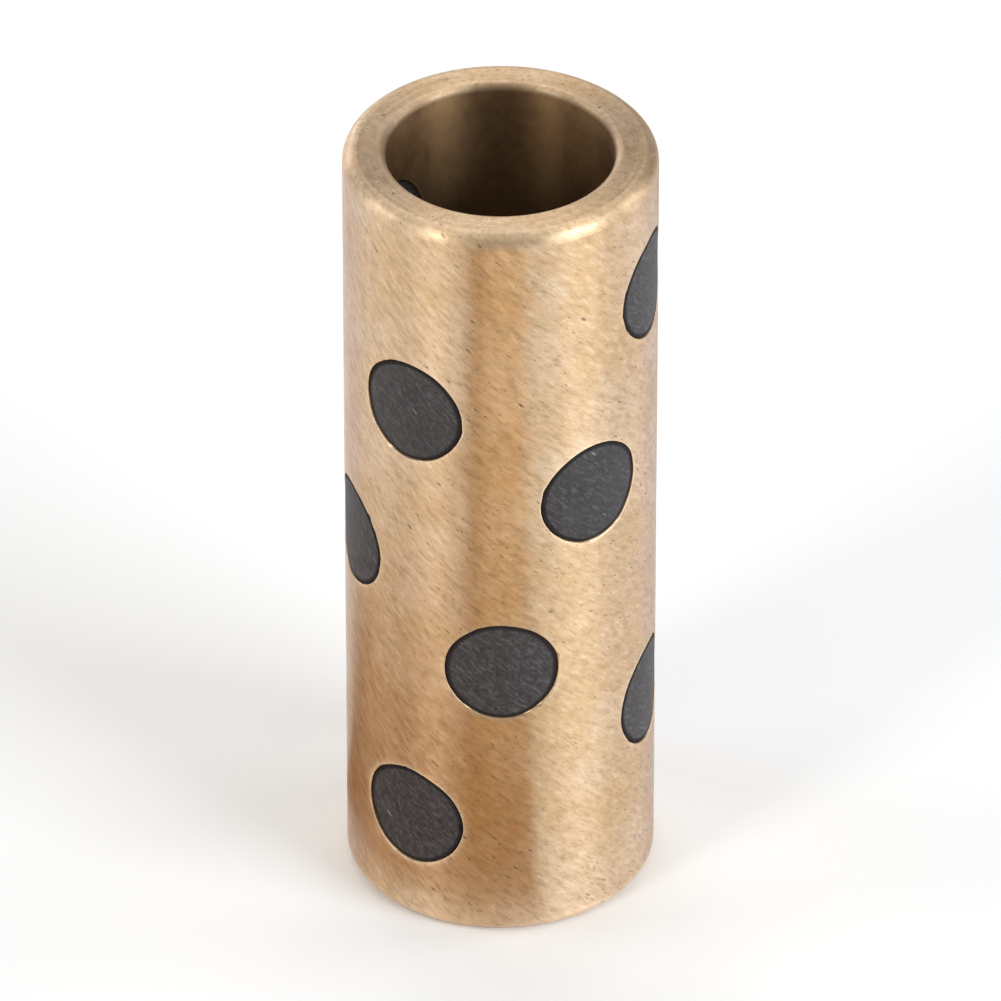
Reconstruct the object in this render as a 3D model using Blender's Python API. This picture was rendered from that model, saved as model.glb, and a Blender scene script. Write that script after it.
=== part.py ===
"""Bronze sleeve bushing with graphite plugs in its wall, for an 8 mm shaft in an 11 mm housing bore.

A plain sleeve is cross-drilled at seven levels. Each drilling goes straight through both walls, and a
solid graphite plug is pressed into each of the two holes and machined flush with the outside and the bore.
Each level is turned 72 degrees from the one below, so the plugs wind round the sleeve and together
wipe graphite over the whole shaft.

Frame: metres, +Z along the bore, origin at the centre of the lower end face. The lowest pair of plugs
lies on the Y axis.
"""

import math

import bmesh
import bpy
from mathutils import Matrix

MM = 0.001

# Driving dimensions
BORE_DIAMETER = 8.0 * MM
OUTER_DIAMETER = 11.0 * MM
LENGTH = 30.0 * MM
RIM_RADIUS = 0.5 * MM
BORE_EDGE_RADIUS = 0.25 * MM
PLUG_DIAMETER = 4.0 * MM
PLUG_GAP = 0.3 * MM  # all round each plug: half is taken off the plug and half off the sleeve
LEVELS = 7
LEVEL_PITCH = 3.5 * MM
LEVEL_TURN = math.radians(-72.0)
FIRST_PAIR_ANGLE = math.radians(-90.0)

# Fineness of the round shapes
WALL_SEGMENTS = 80
PLUG_SEGMENTS = 32
RIM_SEGMENTS = 4
BORE_EDGE_SEGMENTS = 2

SLEEVE_LOOK = {"color": (0.66, 0.46, 0.24, 1.0), "metallic": 1.0, "roughness": 0.38}
GRAPHITE_LOOK = {"color": (0.070, 0.062, 0.062, 1.0), "metallic": 0.0, "roughness": 0.60}
SMOOTH_ANGLE = math.radians(30.0)


def clear_scene():
    for old in list(bpy.data.objects):
        bpy.data.objects.remove(old, do_unlink=True)


def make_material(name, look):
    material = bpy.data.materials.new(name)
    material.use_nodes = True
    shader = material.node_tree.nodes["Principled BSDF"]
    shader.inputs["Base Color"].default_value = look["color"]
    shader.inputs["Metallic"].default_value = look["metallic"]
    shader.inputs["Roughness"].default_value = look["roughness"]
    return material


def add_object(name, mesh, material=None):
    made = bpy.data.objects.new(name, mesh)
    bpy.context.scene.collection.objects.link(made)
    if material is not None and not mesh.materials:
        mesh.materials.append(material)
    return made


def hide_as_tool(tool):
    """A cutter or a blank shapes other objects and isn't a piece of the bushing."""
    tool.hide_render = True
    tool.display_type = "WIRE"


def round_corner(corner_r, corner_z, radius, from_angle, segments):
    """A quarter circle of profile points (r, z), centred on (corner_r, corner_z), turning clockwise."""
    points = []
    for step in range(segments + 1):
        angle = from_angle - math.pi / 2 * step / segments
        points.append((corner_r + radius * math.cos(angle), corner_z + radius * math.sin(angle)))
    return points


def wall_profile():
    """The wall's cross-section, clockwise: up the bore, over the top face, down the outside and back."""
    bore_edge_r = BORE_DIAMETER / 2 + BORE_EDGE_RADIUS
    rim_r = OUTER_DIAMETER / 2 - RIM_RADIUS
    left, top, right, bottom = math.pi, math.pi / 2, 0.0, -math.pi / 2
    bore_edge = (BORE_EDGE_RADIUS, BORE_EDGE_SEGMENTS)
    rim = (RIM_RADIUS, RIM_SEGMENTS)
    profile = round_corner(bore_edge_r, LENGTH - bore_edge[0], bore_edge[0], left, bore_edge[1])
    profile += round_corner(rim_r, LENGTH - rim[0], rim[0], top, rim[1])
    profile += round_corner(rim_r, rim[0], rim[0], right, rim[1])
    profile += round_corner(bore_edge_r, bore_edge[0], bore_edge[0], bottom, bore_edge[1])
    return profile


def wall_mesh(name):
    """The undrilled sleeve: its wall profile spun once round the bore."""
    shape = bmesh.new()
    corners = [shape.verts.new((r, 0.0, z)) for r, z in wall_profile()]
    edges = [shape.edges.new((a, b)) for a, b in zip(corners, corners[1:] + corners[:1])]
    bmesh.ops.spin(
        shape,
        geom=corners + edges,
        cent=(0.0, 0.0, 0.0),
        axis=(0.0, 0.0, 1.0),
        angle=math.tau,
        steps=WALL_SEGMENTS,
        use_merge=True,
    )
    bmesh.ops.recalc_face_normals(shape, faces=shape.faces)
    return finish_mesh(shape, name)


def pin_mesh(name, diameter, reach_from, reach_to):
    """A round pin along X, from reach_from to reach_to."""
    shape = bmesh.new()
    bmesh.ops.create_cone(
        shape,
        cap_ends=True,
        segments=PLUG_SEGMENTS,
        radius1=diameter / 2,
        radius2=diameter / 2,
        depth=reach_to - reach_from,
    )
    lie_along_x = Matrix.Rotation(math.pi / 2, 4, "Y")
    to_middle = Matrix.Translation(((reach_from + reach_to) / 2, 0.0, 0.0))
    bmesh.ops.transform(shape, matrix=to_middle @ lie_along_x, verts=shape.verts)
    return finish_mesh(shape, name)


def finish_mesh(shape, name):
    mesh = bpy.data.meshes.new(name)
    shape.to_mesh(mesh)
    shape.free()
    mesh.shade_smooth()
    mesh.set_sharp_from_angle(angle=SMOOTH_ANGLE)
    return mesh


def level_height(level):
    """Levels are spaced evenly about the middle of the sleeve."""
    return LENGTH / 2 + (level - (LEVELS - 1) / 2) * LEVEL_PITCH


def level_angle(level):
    return FIRST_PAIR_ANGLE + level * LEVEL_TURN


def place(thing, level, turn=0.0):
    thing.location = (0.0, 0.0, level_height(level))
    thing.rotation_euler = (0.0, 0.0, level_angle(level) + turn)


def make_sleeve(material):
    sleeve = add_object("sleeve", wall_mesh("sleeve"), material)
    drill = pin_mesh("drill", PLUG_DIAMETER + PLUG_GAP, -OUTER_DIAMETER, OUTER_DIAMETER)
    for level in range(LEVELS):
        cutter = add_object(f"drill_{level + 1}", drill)
        place(cutter, level)
        hide_as_tool(cutter)
        hole = sleeve.modifiers.new(f"cross_drilling_{level + 1}", "BOOLEAN")
        hole.operation = "DIFFERENCE"
        hole.object = cutter
    return sleeve


def make_plugs(material):
    """Two plugs at each level, a and b, each trimmed to the undrilled wall so that both ends are flush."""
    wall = add_object("undrilled_wall", wall_mesh("undrilled_wall"))
    hide_as_tool(wall)
    plug_pin = pin_mesh("graphite_plug", PLUG_DIAMETER - PLUG_GAP, BORE_DIAMETER / 4, OUTER_DIAMETER)
    for level in range(LEVELS):
        for side, turn in (("a", 0.0), ("b", math.pi)):
            plug = add_object(f"graphite_plug_{level + 1}{side}", plug_pin, material)
            place(plug, level, turn)
            flush_ends = plug.modifiers.new("flush_ends", "BOOLEAN")
            flush_ends.operation = "INTERSECT"
            flush_ends.object = wall


def main():
    clear_scene()
    make_sleeve(make_material("bronze", SLEEVE_LOOK))
    make_plugs(make_material("graphite", GRAPHITE_LOOK))


main()
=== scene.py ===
"""The looks of the bronze sleeve bushing: turned bronze, graphite plugs, floor, light and camera."""

import math
import random

import bpy
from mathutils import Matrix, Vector


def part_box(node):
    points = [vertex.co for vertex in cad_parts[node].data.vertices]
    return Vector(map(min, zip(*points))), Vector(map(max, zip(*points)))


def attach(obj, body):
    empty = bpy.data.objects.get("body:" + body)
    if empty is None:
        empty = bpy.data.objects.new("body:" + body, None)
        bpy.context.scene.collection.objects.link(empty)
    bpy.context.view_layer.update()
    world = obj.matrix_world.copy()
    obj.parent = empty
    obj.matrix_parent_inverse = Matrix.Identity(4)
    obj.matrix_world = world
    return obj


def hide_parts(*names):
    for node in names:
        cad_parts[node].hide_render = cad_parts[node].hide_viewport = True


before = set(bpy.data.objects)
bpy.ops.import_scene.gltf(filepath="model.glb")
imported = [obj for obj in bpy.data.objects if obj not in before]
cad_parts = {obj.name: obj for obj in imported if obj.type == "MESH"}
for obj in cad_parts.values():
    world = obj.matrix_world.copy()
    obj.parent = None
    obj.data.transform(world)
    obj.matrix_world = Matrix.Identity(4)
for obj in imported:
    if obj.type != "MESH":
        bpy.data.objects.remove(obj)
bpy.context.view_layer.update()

MM = 0.001
SEED = 8

# Size of the sleeve, from the frame
SLEEVE_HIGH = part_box("sleeve")[1]
LENGTH = SLEEVE_HIGH.z
OUTER_RADIUS = SLEEVE_HIGH.x
CAD_RADII = [math.hypot(v.co.x, v.co.y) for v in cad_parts["sleeve"].data.vertices]
BORE_RADIUS = min(radius for radius in CAD_RADII if radius > OUTER_RADIUS / 2)
THICKNESS = OUTER_RADIUS - BORE_RADIUS

# The CAD pieces stand clear of each other by this much, shared between plug and hole; the real ones touch
CAD_GAP = 0.3 * MM
RIM_RADIUS = 0.5 * MM
BORE_EDGE_RADIUS = 0.25 * MM

# Grid of the sleeve's skin: columns round it, rows along it, and the square patch that a hole needs
COLUMNS = 280
ROWS_PER_LEVEL = 16
PATCH_COLUMNS = 26
PATCH_ROWS = 12
PLUG_SEGMENTS = 128

# The sleeve's ends: steps of the rounded edges, wear painted on them, and loops that keep the flats flat
RIM_STEPS, BORE_EDGE_STEPS = 10, 7
RIM_WEAR, FLAT_WEAR, BORE_EDGE_WEAR = 0.55, 0.1, 0.6
SUPPORT = 0.03 * MM
FLAT_MARGIN = 0.2 * MM

# The holes: how far their edge strays from a circle, bites out of it, and the rounded lip
HOLE_WOBBLE = 0.034 * MM
HOLE_BITES = {"count": 5, "deepest": 0.055 * MM, "widest": 5.0}
LIP_SIZE, LIP_SWING = 0.050 * MM, 0.020 * MM
INNER_LIP, INNER_MARGIN = 0.03 * MM, 0.01 * MM

# Rings round a hole's lip: distance from the lip, share of the bites that they follow, wear
COLLARS = ((0.30 * MM, 0.3, 0.0), (0.14 * MM, 0.7, 0.12), (0.06 * MM, 0.9, 0.35), (0.015 * MM, 1.0, 0.7))

# The plugs: seam to the hole, broken edge, bites out of it, and how deep (in millimetres) the face lies
PLUG_SEAM = 0.036 * MM
PLUG_EDGE, PLUG_EDGE_SWING, PLUG_SWELL = 0.045 * MM, 0.012 * MM, 0.006 * MM
PLUG_BITES = {"count": 7, "deepest": 0.085 * MM, "widest": 5.5}
PLUG_SINK, PLUG_DISH = (0.020, 0.038), (-0.006, 0.016)
FACE_SHARES = (0.07, 0.16, 0.27, 0.38, 0.49, 0.60, 0.70, 0.79, 0.86, 0.91, 0.94, 0.955, 0.968)
# Painted shade on a plug: from this share of its face out to its edge the graphite darkens to near black,
# for the crevice round it
EDGE_SHADE_FROM, EDGE_SHADE_WIDTH = 0.92, 0.03


def plug_names():
    return sorted(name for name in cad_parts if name.startswith("graphite_plug"))


def plug_place(name):
    """Angle round the sleeve, height and CAD radius of a plug."""
    low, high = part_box(name)
    middle = (low + high) / 2
    return math.atan2(middle.y, middle.x), middle.z, (high.z - low.z) / 2


PLUGS = {name: plug_place(name) for name in plug_names()}
HOLE_RADIUS = next(iter(PLUGS.values()))[2] + CAD_GAP / 2
HEIGHTS = sorted({round(height, 6) for _, height, _ in PLUGS.values()})
PITCH = HEIGHTS[1] - HEIGHTS[0]
ROW_STEP = PITCH / ROWS_PER_LEVEL
BODY_FROM = HEIGHTS[0] - PITCH
BODY_ROWS = ROWS_PER_LEVEL * (len(HEIGHTS) + 1)


# ---------------------------------------------------------------- meshes


class Skin:
    """Points in loops, joined to their neighbours by quads, with two masks painted on the points."""

    def __init__(self):
        self.points = []
        self.edge_wear_and_shade = []
        self.inside = []
        self.faces = []

    def add_loop(self, points, edge_wear_and_shade=0.0, inside=0.0):
        first = len(self.points)
        self.points.extend(points)
        self.edge_wear_and_shade.extend([edge_wear_and_shade] * len(points))
        self.inside.extend([inside] * len(points))
        return list(range(first, first + len(points)))

    def join(self, loop, following, keep=None):
        """A closed band of quads. Seen from outside, loops run anticlockwise and following is further on."""
        for i in range(len(loop)):
            if keep is None or keep[i]:
                j = (i + 1) % len(loop)
                self.faces.append((loop[i], loop[j], following[j], following[i]))

    def join_all(self, loops):
        for loop, following in zip(loops, loops[1:]):
            self.join(loop, following)

    def close(self, loop, centre, flip=False):
        """A fan of triangles from a loop to a centre point."""
        last = self.add_loop([centre])[0]
        for i in range(len(loop)):
            here, beside = loop[i], loop[(i + 1) % len(loop)]
            self.faces.append((beside, here, last) if flip else (here, beside, last))

    def mesh(self, name):
        mesh = bpy.data.meshes.new(name)
        mesh.from_pydata(self.points, [], self.faces)
        mesh.validate()
        mesh.shade_smooth()
        for label, values in (("edge_wear_and_shade", self.edge_wear_and_shade), ("inside", self.inside)):
            layer = mesh.attributes.new(label, "FLOAT", "POINT")
            layer.data.foreach_set("value", values)
        return mesh


def add_piece(name, mesh):
    piece = bpy.data.objects.new(name, mesh)
    bpy.context.scene.collection.objects.link(piece)
    return piece


def circle(radius, height):
    turn = math.tau / COLUMNS
    return [(radius * math.cos(c * turn), radius * math.sin(c * turn), height) for c in range(COLUMNS)]


def bends(start, end, steps):
    """Angles in radians from start to end degrees, both included."""
    return [math.radians(start + (end - start) * step / steps) for step in range(steps + 1)]


OUTER_BENDS = bends(90, 0, 5)
INNER_BENDS = bends(0, 90, 3)


def arc(centre, radius, start, end, steps):
    """Points (radius, height) of a cross-section on an arc, angles in degrees, both ends included."""
    angles = bends(start, end, steps)
    return [(centre[0] + radius * math.cos(a), centre[1] + radius * math.sin(a)) for a in angles]


def end_profile():
    """The upper end's cross-section from outside to bore: rows of radius, height, worn and inside."""
    rim, bore = OUTER_RADIUS - RIM_RADIUS, BORE_RADIUS + BORE_EDGE_RADIUS
    rim_arc = arc((rim, LENGTH - RIM_RADIUS), RIM_RADIUS, 0, 90, RIM_STEPS)
    flat = (rim - SUPPORT, rim - FLAT_MARGIN, bore + FLAT_MARGIN, bore + SUPPORT)
    bore_arc = arc((bore, LENGTH - BORE_EDGE_RADIUS), BORE_EDGE_RADIUS, 90, 180, BORE_EDGE_STEPS)
    rows = [(OUTER_RADIUS, LENGTH - RIM_RADIUS - SUPPORT, 0.0, 0.0)]
    rows += [(radius, height, RIM_WEAR, 0.0) for radius, height in rim_arc]
    rows += [(radius, LENGTH, FLAT_WEAR, 0.0) for radius in flat]
    for step, (radius, height) in enumerate(bore_arc):
        rows.append((radius, height, BORE_EDGE_WEAR, step / (BORE_EDGE_STEPS + 2)))
    rows.append((BORE_RADIUS, LENGTH - BORE_EDGE_RADIUS - SUPPORT, FLAT_WEAR, 0.9))
    return rows


def wave(rng, orders, size):
    """A smooth closed wobble: size times a sum of sines with random phases and weights."""
    parts = [(k, rng.uniform(0, math.tau), rng.uniform(0.4, 1.0) / math.sqrt(k)) for k in orders]
    total = sum(weight for _, _, weight in parts)
    return lambda t: size * sum(weight * math.sin(k * t + phase) for k, phase, weight in parts) / total


def chips(rng, count, deepest, widest):
    """Small bites round an edge: how deep the edge is bitten at angle t. widest is in degrees."""
    bites = []
    for _ in range(count):
        width = math.radians(rng.uniform(0.35, 1.0) * widest)
        bites.append((rng.uniform(0, math.tau), width, rng.uniform(0.25, 1.0) * deepest))

    def depth(t):
        total = 0.0
        for middle, width, deep in bites:
            away = (t - middle + math.pi) % math.tau - math.pi
            total = max(total, deep * math.exp(-((away / width) ** 2)))
        return total

    return depth


class Hole:
    """One cross-drilled hole in the sleeve's wall, with a slightly uneven, broken lip."""

    def __init__(self, angle, height, rng):
        self.angle = angle
        self.height = height
        self.wobble = wave(rng, range(2, 10), HOLE_WOBBLE)
        self.bites = chips(rng, **HOLE_BITES)
        self.lip = wave(rng, range(1, 7), LIP_SWING)

    def lip_size(self, t):
        return LIP_SIZE + self.lip(t)

    def edge(self, t):
        return HOLE_RADIUS + self.wobble(t)

    def on_wall(self, surface_radius, t, reach, depth):
        """A point at angle t and distance reach from the drilling's axis, depth below a round surface."""
        across, up = reach * math.cos(t), reach * math.sin(t)
        out = math.sqrt(surface_radius**2 - across**2) - depth
        return self.turned(out, across, up)

    def turned(self, out, across, up):
        cos, sin = math.cos(self.angle), math.sin(self.angle)
        return (out * cos - across * sin, out * sin + across * cos, self.height + up)

    def between(self, surface_radius, start, end, share):
        """A point on the sleeve's surface, share of the way from start to end, both on that surface."""
        from_angle, to_angle = (math.atan2(p[1], p[0]) - self.angle for p in (start, end))
        from_angle = (from_angle + math.pi) % math.tau - math.pi
        to_angle = (to_angle + math.pi) % math.tau - math.pi
        angle = self.angle + from_angle + (to_angle - from_angle) * share
        height = start[2] + (end[2] - start[2]) * share
        return (surface_radius * math.cos(angle), surface_radius * math.sin(angle), height)


def patch_outline(column, row):
    """Grid places round the square patch that a hole needs, anticlockwise seen from outside."""
    wide, high = PATCH_COLUMNS, PATCH_ROWS
    outline = [(column + c, row - high) for c in range(-wide, wide)]
    outline += [(column + wide, row + r) for r in range(-high, high)]
    outline += [(column - c, row + high) for c in range(-wide, wide)]
    outline += [(column - wide, row - r) for r in range(-high, high)]
    return [(c % COLUMNS, r) for c, r in outline]


def cut_hole(skin, hole, column, row, outer_rows, inner_rows):
    """Fills the patches round a hole in both surfaces and lines the hole through the wall."""
    outline = patch_outline(column, row)
    rim_outer = [outer_rows[r][c] for c, r in outline]
    rim_inner = [inner_rows[r][c] for c, r in outline]
    turns = []
    for c, r in outline:
        across = ((c - column + COLUMNS // 2) % COLUMNS - COLUMNS // 2) * math.tau / COLUMNS
        turns.append(math.atan2((r - row) * ROW_STEP, across * (OUTER_RADIUS + BORE_RADIUS) / 2))

    def collar(offset, bitten):
        reaches = [hole.edge(t) + hole.lip_size(t) + offset + hole.bites(t) * bitten for t in turns]
        return [hole.on_wall(OUTER_RADIUS, t, reach, 0.0) for t, reach in zip(turns, reaches)]

    loops = [rim_outer]
    widest = collar(*COLLARS[0][:2])
    for share in (0.3, 0.6, 0.85):
        ends = zip([skin.points[i] for i in rim_outer], widest)
        loops.append(skin.add_loop([hole.between(OUTER_RADIUS, a, b, share) for a, b in ends]))
    for offset, bitten, edge_wear_and_shade in COLLARS:
        loops.append(skin.add_loop(collar(offset, bitten), edge_wear_and_shade))
    for step, bend in enumerate(OUTER_BENDS):
        points = []
        for t in turns:
            lip = hole.lip_size(t) + 0.4 * hole.bites(t)
            reach = hole.edge(t) + lip * (1 - math.cos(bend)) + hole.bites(t) * math.sin(bend)
            points.append(hole.on_wall(OUTER_RADIUS, t, reach, lip * (1 - math.sin(bend))))
        loops.append(skin.add_loop(points, edge_wear_and_shade=0.9 - 0.1 * step))
    for share in (0.25, 0.7):
        points = [hole.on_wall(OUTER_RADIUS, t, hole.edge(t), THICKNESS * share) for t in turns]
        loops.append(skin.add_loop(points))
    for bend in INNER_BENDS:
        reach, rise = INNER_LIP * (1 - math.cos(bend)), INNER_LIP * (1 - math.sin(bend))
        points = [hole.on_wall(BORE_RADIUS, t, hole.edge(t) + reach, -rise) for t in turns]
        loops.append(skin.add_loop(points, edge_wear_and_shade=0.3, inside=1.0))
    points = [hole.on_wall(BORE_RADIUS, t, hole.edge(t) + INNER_LIP + INNER_MARGIN, 0.0) for t in turns]
    loops.append(skin.add_loop(points, inside=1.0))
    loops.append(rim_inner)
    skin.join_all(loops)


def sleeve_piece(holes):
    skin = Skin()
    row_heights = [BODY_FROM + row * ROW_STEP for row in range(BODY_ROWS + 1)]
    outer_rows = [skin.add_loop(circle(OUTER_RADIUS, height)) for height in row_heights]
    top = [skin.add_loop(circle(r, z), edge_wear_and_shade, inside) for r, z, edge_wear_and_shade, inside in end_profile()]
    inner_rows = [skin.add_loop(circle(BORE_RADIUS, height), inside=1.0) for height in row_heights]
    bottom = [skin.add_loop(circle(r, LENGTH - z), edge_wear_and_shade, inside) for r, z, edge_wear_and_shade, inside in end_profile()]

    keep = [[True] * COLUMNS for _ in range(BODY_ROWS)]
    for hole in holes:
        column = round(hole.angle / math.tau * COLUMNS) % COLUMNS
        row = round((hole.height - BODY_FROM) / ROW_STEP)
        for r in range(row - PATCH_ROWS, row + PATCH_ROWS):
            for c in range(column - PATCH_COLUMNS, column + PATCH_COLUMNS):
                keep[r][c % COLUMNS] = False
        cut_hole(skin, hole, column, row, outer_rows, inner_rows)

    for row in range(BODY_ROWS):
        skin.join(outer_rows[row], outer_rows[row + 1], keep[row])
        skin.join(inner_rows[row + 1], inner_rows[row], keep[row])
    skin.join_all([outer_rows[-1]] + top + [inner_rows[-1]])
    skin.join_all([inner_rows[0]] + bottom[::-1] + [outer_rows[0]])
    return add_piece("bronze_sleeve", skin.mesh("bronze_sleeve"))


def plug_piece(name, hole, rng):
    """A graphite plug: two curved faces, a little below the bronze, with broken edges and a side wall."""
    skin = Skin()
    bites = chips(rng, **PLUG_BITES)
    edge_wave = wave(rng, range(1, 9), PLUG_EDGE_SWING)
    swell = wave(rng, range(2, 6), PLUG_SWELL)
    sink = rng.uniform(*PLUG_SINK) * MM
    dish = rng.uniform(*PLUG_DISH) * MM
    turns = [math.tau * i / PLUG_SEGMENTS for i in range(PLUG_SEGMENTS)]

    def body(t):
        return hole.edge(t) - PLUG_SEAM

    loops = []
    # On a plug the edge mask marks painted shade: it rises near the face's edge and is full on the broken
    # edge and the inner rim
    for share in FACE_SHARES:
        hollow = sink + dish * (1 - share**2)
        points = [hole.on_wall(OUTER_RADIUS, t, body(t) * share, hollow + share * swell(t)) for t in turns]
        loops.append(skin.add_loop(points, edge_wear_and_shade=min(1.0, max(0.0, (share - EDGE_SHADE_FROM) / EDGE_SHADE_WIDTH))))
    for bend in OUTER_BENDS:
        points = []
        for t in turns:
            size = PLUG_EDGE + edge_wave(t) + bites(t)
            depth = sink + swell(t) * 0.95 + size * (1 - math.sin(bend))
            points.append(hole.on_wall(OUTER_RADIUS, t, body(t) - size * (1 - math.cos(bend)), depth))
        loops.append(skin.add_loop(points, edge_wear_and_shade=1.0))
    for share in (0.3, 0.8):
        points = [hole.on_wall(OUTER_RADIUS, t, body(t), THICKNESS * share) for t in turns]
        loops.append(skin.add_loop(points))
    for bend in INNER_BENDS:
        shrink, drop = INNER_LIP * (1 - math.cos(bend)), sink / 2 + INNER_LIP * (1 - math.sin(bend))
        points = [hole.on_wall(BORE_RADIUS, t, body(t) - shrink, -drop) for t in turns]
        loops.append(skin.add_loop(points, edge_wear_and_shade=1.0, inside=1.0))
    for share in (0.93, 0.8, 0.6, 0.4, 0.2):
        points = [hole.on_wall(BORE_RADIUS, t, body(t) * share, -sink / 2) for t in turns]
        loops.append(skin.add_loop(points, inside=1.0))
    for loop, following in zip(loops, loops[1:]):
        skin.join(following, loop)
    skin.close(loops[0], hole.turned(OUTER_RADIUS - sink - dish, 0.0, 0.0))
    skin.close(loops[-1], hole.turned(BORE_RADIUS + sink / 2, 0.0, 0.0), flip=True)
    return add_piece(name, skin.mesh(name))


# ---------------------------------------------------------------- materials

# Turn of the sanding marks, in radians round the sleeve for each millimetre of height
SANDING_TWIST = 0.165

CLEAN_BRONZE, WARM_BRONZE = (0.765, 0.565, 0.375, 1), (0.69, 0.47, 0.26, 1)
# The bore's colour is partly its own tarnish and partly painted shade, far darker than tarnished bronze
# alone
BRIGHT_BRONZE, BORE_TARNISH_AND_SHADE = (0.93, 0.76, 0.55, 1), (0.195, 0.110, 0.048, 1)
BROWN, DARK, GREY = (0.44, 0.275, 0.135, 1), (0.15, 0.095, 0.06, 1), (0.40, 0.335, 0.265, 1)
BLACK_GRAPHITE, GREY_GRAPHITE = (0.019, 0.0155, 0.016, 1), (0.027, 0.0235, 0.0245, 1)
GRAPHITE_GRAIN, GRAPHITE_DRAG = (0.070, 0.063, 0.066, 1), (0.094, 0.086, 0.090, 1)
GRAPHITE_GLINT, GRAPHITE_SPECK = (0.16, 0.15, 0.15, 1), (0.32, 0.29, 0.27, 1)
GRAPHITE_PORE, GRAPHITE_EDGE_SHADE = (0.008, 0.006, 0.006, 1), (0.007, 0.004, 0.004, 1)
FLOOR_WHITE = (0.90, 0.90, 0.90, 1)


class Graph:
    """Short calls for building a material's nodes."""

    def __init__(self, name):
        self.material = bpy.data.materials.new(name)
        self.material.use_nodes = True
        self.tree = self.material.node_tree
        self.shader = self.tree.nodes["Principled BSDF"]

    def put(self, socket, value):
        if isinstance(value, bpy.types.NodeSocket):
            self.tree.links.new(value, socket)
        else:
            socket.default_value = value

    def shade(self, values):
        """Sets the shader's own sockets, to constants or to other nodes."""
        for label, value in values.items():
            self.put(self.shader.inputs[label], value)

    def add(self, kind, settings, inputs):
        made = self.tree.nodes.new(kind)
        for key, value in settings.items():
            setattr(made, key, value)
        for key, value in inputs.items():
            self.put(made.inputs[key], value)
        return made

    def math(self, operation, a, b=0.0):
        return self.add("ShaderNodeMath", {"operation": operation}, {0: a, 1: b}).outputs[0]

    def times(self, a, b):
        return self.math("MULTIPLY", a, b)

    def total(self, *parts):
        """The sum of values, each given with its weight."""
        result = self.times(parts[0][1], parts[0][0])
        for weight, value in parts[1:]:
            result = self.math("ADD", result, self.times(value, weight))
        return result

    def place(self):
        """Position on the object in millimetres."""
        where = self.add("ShaderNodeTexCoord", {}, {}).outputs["Object"]
        millimetres = self.add("ShaderNodeVectorMath", {"operation": "SCALE"}, {0: where})
        millimetres.inputs["Scale"].default_value = 1 / MM
        return millimetres.outputs[0]

    def parts(self, vector):
        return self.add("ShaderNodeSeparateXYZ", {}, {0: vector}).outputs

    def stretch(self, vector, scale):
        return self.add("ShaderNodeMapping", {}, {"Vector": vector, "Scale": scale}).outputs[0]

    def twist(self, vector, turn):
        """Turns each slice across the sleeve by turn radians per millimetre of height."""
        inputs = {"Vector": vector, "Angle": self.times(self.parts(vector)[2], turn)}
        return self.add("ShaderNodeVectorRotate", {"rotation_type": "Z_AXIS"}, inputs).outputs[0]

    def radius(self, vector):
        flat = self.stretch(vector, (1.0, 1.0, 0.0))
        return self.add("ShaderNodeVectorMath", {"operation": "LENGTH"}, {0: flat}).outputs["Value"]

    def turned(self, vector, around, across, on_wall=True):
        """Coordinates for lathe lines: fine along the radius, and on the wall along the height too."""
        parts = self.parts(vector)
        reach = self.radius(vector)
        if on_wall:
            reach = self.math("ADD", parts[2], reach)
        x, y = self.times(parts[0], around), self.times(parts[1], around)
        return self.add("ShaderNodeCombineXYZ", {}, {0: x, 1: y, 2: self.times(reach, across)}).outputs[0]

    def ends(self, vector):
        """1 on the two end faces and 0 on the wall, for a vector in millimetres from the lower end."""
        half = LENGTH / MM / 2
        away = self.math("ABSOLUTE", self.math("SUBTRACT", self.parts(vector)[2], half))
        return self.spread(away, half - 0.45, half - 0.12)

    def noise(self, vector, scale=1.0, detail=3.0, rough=0.5, warp=0.0):
        inputs = {"Vector": vector, "Scale": scale, "Detail": detail, "Roughness": rough, "Distortion": warp}
        return self.add("ShaderNodeTexNoise", {}, inputs).outputs[0]

    def spread(self, value, low, high, to_low=0.0, to_high=1.0):
        """Maps low..high smoothly to to_low..to_high."""
        inputs = {"Value": value, "From Min": low, "From Max": high, "To Min": to_low, "To Max": to_high}
        return self.add("ShaderNodeMapRange", {"interpolation_type": "SMOOTHSTEP"}, inputs).outputs[0]

    def pits(self, vector, scale, share, size, edge, ragged):
        """Scattered pits: a share of a field of cells, each with its own size, as a mask."""
        field = self.add("ShaderNodeTexVoronoi", {}, {"Vector": vector, "Scale": scale})
        lot = self.add("ShaderNodeSeparateColor", {}, {0: field.outputs["Color"]}).outputs[0]
        reach = self.spread(lot, 1.0 - share, 1.0, -0.1, size)
        away = self.math("ADD", field.outputs["Distance"], ragged)
        return self.spread(self.math("SUBTRACT", reach, away), 0.0, edge)

    def mix(self, share, a, b):
        made = self.add("ShaderNodeMix", {"data_type": "RGBA"}, {0: share})
        self.put(made.inputs[6], a)
        self.put(made.inputs[7], b)
        return made.outputs[2]

    def layered(self, colour, layers):
        """A colour with others laid over it in turn, each given with its share."""
        for share, paint in layers:
            colour = self.mix(share, colour, paint)
        return colour

    def painted(self, label):
        return self.add("ShaderNodeAttribute", {"attribute_name": label}, {}).outputs["Fac"]

    def bump(self, height, distance):
        return self.add("ShaderNodeBump", {}, {"Height": height, "Distance": distance}).outputs[0]

    def round_tangent(self):
        return self.add("ShaderNodeTangent", {"direction_type": "RADIAL", "axis": "Z"}, {}).outputs[0]


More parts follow.
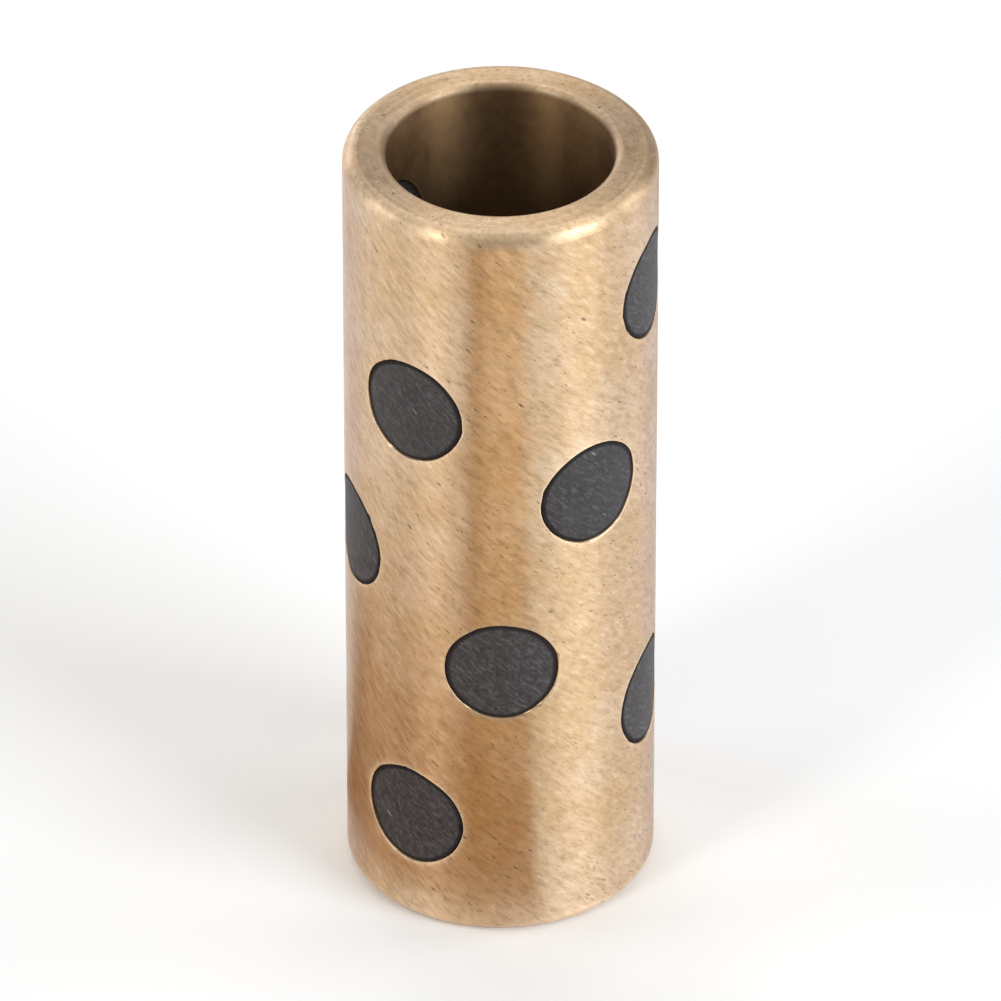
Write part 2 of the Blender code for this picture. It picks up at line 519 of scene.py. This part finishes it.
def bronze():
    graph = Graph("turned_bronze")
    where = graph.place()
    edge_wear_and_shade, inside = graph.painted("edge_wear_and_shade"), graph.painted("inside")
    sanded = graph.twist(where, SANDING_TWIST)
    on_end = graph.ends(where)

    clouds = graph.noise(where, scale=0.30)
    mottle = graph.noise(where, scale=2.4, detail=4.0, rough=0.60)
    turning = graph.noise(graph.turned(where, 0.5, 13.0), detail=4.0, rough=0.65)
    rings = graph.noise(graph.turned(where, 0.35, 7.5, on_wall=False), detail=4.0, rough=0.60)
    streaks = graph.noise(graph.stretch(sanded, (3.4, 3.4, 2.3)), detail=5.0, rough=0.72)
    hairs = graph.noise(graph.stretch(sanded, (13.0, 13.0, 5.0)), rough=0.6)
    smudge = graph.spread(graph.noise(where, scale=0.75, detail=6.0, rough=0.68, warp=0.4), 0.575, 0.75)

    # Pits come in patches, and only outside the bore
    ragged = graph.spread(graph.noise(where, scale=9.0, detail=2.0), 0.3, 0.7, -0.08, 0.08)
    patches = graph.spread(graph.noise(where, scale=0.5, rough=0.55), 0.36, 0.60, 0.25, 1.0)
    open_air = graph.math("SUBTRACT", 1.0, inside)
    pit = graph.pits(graph.stretch(sanded, (1.25, 1.25, 0.8)), 2.8, 0.40, 0.34, 0.26, ragged)
    pit = graph.times(graph.times(pit, patches), open_air)
    fine_pit = graph.pits(graph.stretch(sanded, (1.3, 1.3, 0.70)), 6.0, 0.45, 0.40, 0.26, ragged)
    fine_pit = graph.times(graph.times(fine_pit, patches), open_air)

    layers = (
        (graph.spread(mottle, 0.45, 0.75, 0.0, 0.22), BROWN),
        (graph.spread(turning, 0.50, 0.78, 0.0, 0.14), BROWN),
        (graph.times(on_end, graph.spread(rings, 0.48, 0.70, 0.0, 0.42)), BROWN),
        (graph.times(on_end, graph.spread(rings, 0.46, 0.28, 0.0, 0.42)), BRIGHT_BRONZE),
        (graph.spread(streaks, 0.46, 0.70, 0.0, 0.66), BROWN),
        (graph.spread(hairs, 0.48, 0.75, 0.0, 0.34), BROWN),
        (graph.spread(streaks, 0.48, 0.26, 0.0, 0.62), BRIGHT_BRONZE),
        (graph.times(smudge, 0.38), GREY),
        (graph.times(fine_pit, 0.66), DARK),
        (graph.times(pit, 0.80), DARK),
        (graph.times(edge_wear_and_shade, 0.28), BRIGHT_BRONZE),
        # Painted shade in the bore: its bronze is painted far darker than tarnish alone would make it
        (graph.times(inside, 0.90), BORE_TARNISH_AND_SHADE),
    )
    plain = graph.mix(graph.spread(clouds, 0.34, 0.66), WARM_BRONZE, CLEAN_BRONZE)
    mottled_rough = graph.spread(mottle, 0.3, 0.7, 0.33, 0.41)
    height = graph.total(
        (0.25, turning),
        (0.60, graph.times(on_end, rings)),
        (0.34, streaks),
        (0.10, hairs),
        (0.50, mottle),
        (-0.70, pit),
        (-0.30, fine_pit),
    )
    graph.shade(
        {
            "Base Color": graph.layered(plain, layers),
            "Roughness": graph.total((1.0, mottled_rough), (0.15, pit), (0.24, edge_wear_and_shade), (0.16, inside)),
            "Normal": graph.bump(height, 0.008 * MM),
            "Metallic": 1.0,
            "Coat Weight": 0.5,
            "Coat Roughness": 0.32,
            "Specular Tint": (0.80, 0.76, 0.84, 1),
            "Anisotropic": 0.78,
            "Anisotropic Rotation": 0.25,
            "Tangent": graph.round_tangent(),
        }
    )
    return graph.material


def graphite():
    graph = Graph("pressed_graphite")
    where = graph.place()
    edge_wear_and_shade = graph.painted("edge_wear_and_shade")
    sanded = graph.twist(where, SANDING_TWIST)
    grain = graph.noise(where, scale=7.0, detail=4.0, rough=0.75)
    blotch = graph.noise(where, scale=1.3)
    drag = graph.noise(graph.stretch(sanded, (6.5, 6.5, 3.6)), rough=0.68)
    ragged = graph.spread(grain, 0.3, 0.7, -0.08, 0.08)
    speck = graph.pits(graph.stretch(sanded, (1.5, 1.5, 0.7)), 2.1, 0.14, 0.22, 0.12, ragged)
    glint = graph.pits(graph.stretch(sanded, (1.5, 1.5, 0.6)), 5.0, 0.22, 0.26, 0.25, ragged)
    pore = graph.pits(where, 4.5, 0.35, 0.28, 0.20, ragged)
    layers = (
        (graph.spread(grain, 0.42, 0.70, 0.0, 0.70), GRAPHITE_GRAIN),
        (graph.spread(drag, 0.47, 0.72, 0.0, 0.80), GRAPHITE_DRAG),
        (graph.times(pore, 0.75), GRAPHITE_PORE),
        (graph.times(glint, 0.50), GRAPHITE_GLINT),
        (graph.times(speck, 0.75), GRAPHITE_SPECK),
        # Painted shade: the plug's broken edge and the crevice round it painted near black
        (graph.times(edge_wear_and_shade, 0.95), GRAPHITE_EDGE_SHADE),
    )
    plain = graph.mix(graph.spread(blotch, 0.3, 0.7), BLACK_GRAPHITE, GREY_GRAPHITE)
    grainy_rough = graph.spread(grain, 0.3, 0.7, 0.50, 0.66)
    height = graph.total((0.7, grain), (0.6, drag), (-0.8, pore))
    graph.shade(
        {
            "Base Color": graph.layered(plain, layers),
            "Roughness": graph.total((1.0, grainy_rough), (0.32, edge_wear_and_shade)),
            "Normal": graph.bump(height, 0.016 * MM),
            "Specular IOR Level": 0.42,
        }
    )
    return graph.material


def floor_paint():
    """Pale matt paint that fades into the backdrop away from the object."""
    graph = Graph("floor_paint")
    where = graph.place()
    reach = graph.add("ShaderNodeVectorMath", {"operation": "LENGTH"}, {0: where}).outputs["Value"]
    fade = graph.spread(reach, 150.0, 420.0, 1.0, 0.0)
    graph.shade({"Alpha": fade, "Base Color": FLOOR_WHITE, "Roughness": 0.9, "Specular IOR Level": 0.0})
    return graph.material


# ---------------------------------------------------------------- stage

# The photograph's view of the upright bushing: degrees, metres, and millimetres of lens on a 36 mm sensor
VIEW_AZIMUTH = 35.6
VIEW_ELEVATION = 35.6
VIEW_DISTANCE = 0.476
LENS, SENSOR = 485.0, 36.0
MIDDLE = Vector((0, 0, LENGTH / 2))

LIGHT_DISTANCE = 0.6
FLOOR_HALF = 0.45
FLOOR_HEIGHT, CARD_HEIGHT = -0.02 * MM, 0.1 * MM
CARD_STEPS = 16
CARD_BROWN, CARD_TAN, CARD_BACK_TAN = (0.45, 0.29, 0.13, 1), (0.88, 0.71, 0.50, 1), (0.80, 0.63, 0.43, 1)
CARD_RUST, CARD_WARM = (0.46, 0.27, 0.11, 1), (0.40, 0.21, 0.08, 1)
BACKDROP, GLOW = 0.90, 0.30


def spherical(azimuth, elevation, distance):
    """A point round the middle of the sleeve. Azimuth 0 is on the -Y side and 90 on the +X side."""
    a, e = math.radians(azimuth), math.radians(elevation)
    out = Vector((math.sin(a) * math.cos(e), -math.cos(a) * math.cos(e), math.sin(e)))
    return MIDDLE + out * distance


def stand(thing, place):
    """Puts a camera or light in the scene, aimed at the middle of the sleeve."""
    bpy.context.scene.collection.objects.link(thing)
    thing.location = place
    thing.rotation_euler = (MIDDLE - thing.location).to_track_quat("-Z", "Y").to_euler()


def make_camera():
    data = bpy.data.cameras.new("camera")
    data.lens = LENS
    data.sensor_width = SENSOR
    data.clip_start = 0.01
    data.clip_end = 20.0
    camera = bpy.data.objects.new("camera", data)
    stand(camera, spherical(VIEW_AZIMUTH, VIEW_ELEVATION, VIEW_DISTANCE))
    bpy.context.scene.camera = camera


def make_softbox(name, azimuth, elevation, size, power, colour=(1, 1, 1)):
    """azimuth is counted from the camera, positive to its right."""
    data = bpy.data.lights.new(name, "AREA")
    data.shape = "RECTANGLE"
    data.size, data.size_y = size
    data.energy = power
    data.color = colour
    box = bpy.data.objects.new(name, data)
    stand(box, spherical(VIEW_AZIMUTH + azimuth, elevation, LIGHT_DISTANCE))


def make_world():
    """A pale backdrop, which lights the object only with a weaker glow."""
    world = bpy.data.worlds.new("studio")
    world.use_nodes = True
    nodes, links = world.node_tree.nodes, world.node_tree.links
    seen = nodes.new("ShaderNodeLightPath").outputs["Is Camera Ray"]
    strength = nodes.new("ShaderNodeMapRange")
    strength.inputs["To Min"].default_value = GLOW
    strength.inputs["To Max"].default_value = BACKDROP
    links.new(seen, strength.inputs["Value"])
    background = nodes["Background"]
    background.inputs["Color"].default_value = (1, 1, 1, 1)
    links.new(strength.outputs[0], background.inputs["Strength"])
    bpy.context.scene.world = world


def make_floor():
    mesh = bpy.data.meshes.new("floor")
    half = FLOOR_HALF
    corners = [(-half, -half), (half, -half), (half, half), (-half, half)]
    mesh.from_pydata([(x, y, FLOOR_HEIGHT) for x, y in corners], [], [(0, 1, 2, 3)])
    mesh.materials.append(floor_paint())
    add_piece("floor", mesh)


def make_card(name, azimuths, reaches, colour):
    """A matt sheet on the floor, out of the camera's sight, that only shows as a painted reflection in the
    metal: a darker or warmer tone where the sleeve mirrors it.

    It is a sector of a ring between two azimuths from the camera and two distances in millimetres.
    """
    graph = Graph(name)
    graph.shade({"Base Color": colour, "Roughness": 1.0})
    start, end = azimuths
    points, faces = [], []
    for i in range(CARD_STEPS + 1):
        azimuth = math.radians(VIEW_AZIMUTH + start + (end - start) * i / CARD_STEPS)
        for reach in reaches:
            points.append((reach * MM * math.sin(azimuth), -reach * MM * math.cos(azimuth), CARD_HEIGHT))
    for i in range(CARD_STEPS):
        faces.append((2 * i, 2 * i + 1, 2 * i + 3, 2 * i + 2))
    mesh = bpy.data.meshes.new(name)
    mesh.from_pydata(points, [], faces)
    mesh.materials.append(graph.material)
    card = add_piece(name, mesh)
    card.visible_camera = False
    card.visible_diffuse = False
    card.visible_shadow = False
    card.visible_transmission = False


def build_bushing():
    rng = random.Random(SEED)
    holes = {name: Hole(angle, height, rng) for name, (angle, height, _) in PLUGS.items()}
    sleeve = sleeve_piece(holes.values())
    sleeve.data.materials.append(bronze())
    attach(sleeve, "root")
    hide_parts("sleeve")
    black = graphite()
    for node, hole in holes.items():
        plug = plug_piece(node.replace("graphite_plug", "plug"), hole, rng)
        plug.data.materials.append(black)
        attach(plug, "root")
        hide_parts(node)


def light_bushing():
    make_softbox("key", 56, 22, (0.32, 0.34), 2.9, (0.89, 0.94, 1.0))
    make_softbox("fill", -46, 22, (0.14, 0.34), 1.25, (1.0, 0.97, 0.91))
    make_softbox("side", -92, 22, (0.26, 0.34), 0.9)
    make_softbox("other_side", 104, 20, (0.24, 0.34), 0.9, (0.93, 0.96, 1.0))
    make_softbox("back", -150, 14, (0.40, 0.26), 0.7)
    make_softbox("top", 180, 62, (0.34, 0.34), 0.85)
    make_softbox("overhead", 0, 72, (0.46, 0.20), 0.28, (1.0, 0.90, 0.76))
    # Cards seen only in the metal, as painted reflections: the brown ones a darker band, the rust and warm
    # ones a darker orange tone low at the front and left, the tan ones a warm pale tone
    make_card("brown_card", (-23, -12), (22, 140), CARD_BROWN)
    make_card("tan_card", (-12, 19), (22, 140), CARD_TAN)
    make_card("rust_card", (-23, 19), (7, 22), CARD_RUST)
    make_card("warm_card", (-120, -23), (7, 24), CARD_WARM)
    make_card("back_brown_card", (154, 168), (12, 140), CARD_BROWN)
    make_card("back_tan_card", (168, 200), (12, 140), CARD_BACK_TAN)


build_bushing()
make_floor()
make_world()
light_bushing()
make_camera()
bpy.context.scene.view_settings.view_transform = "Standard"
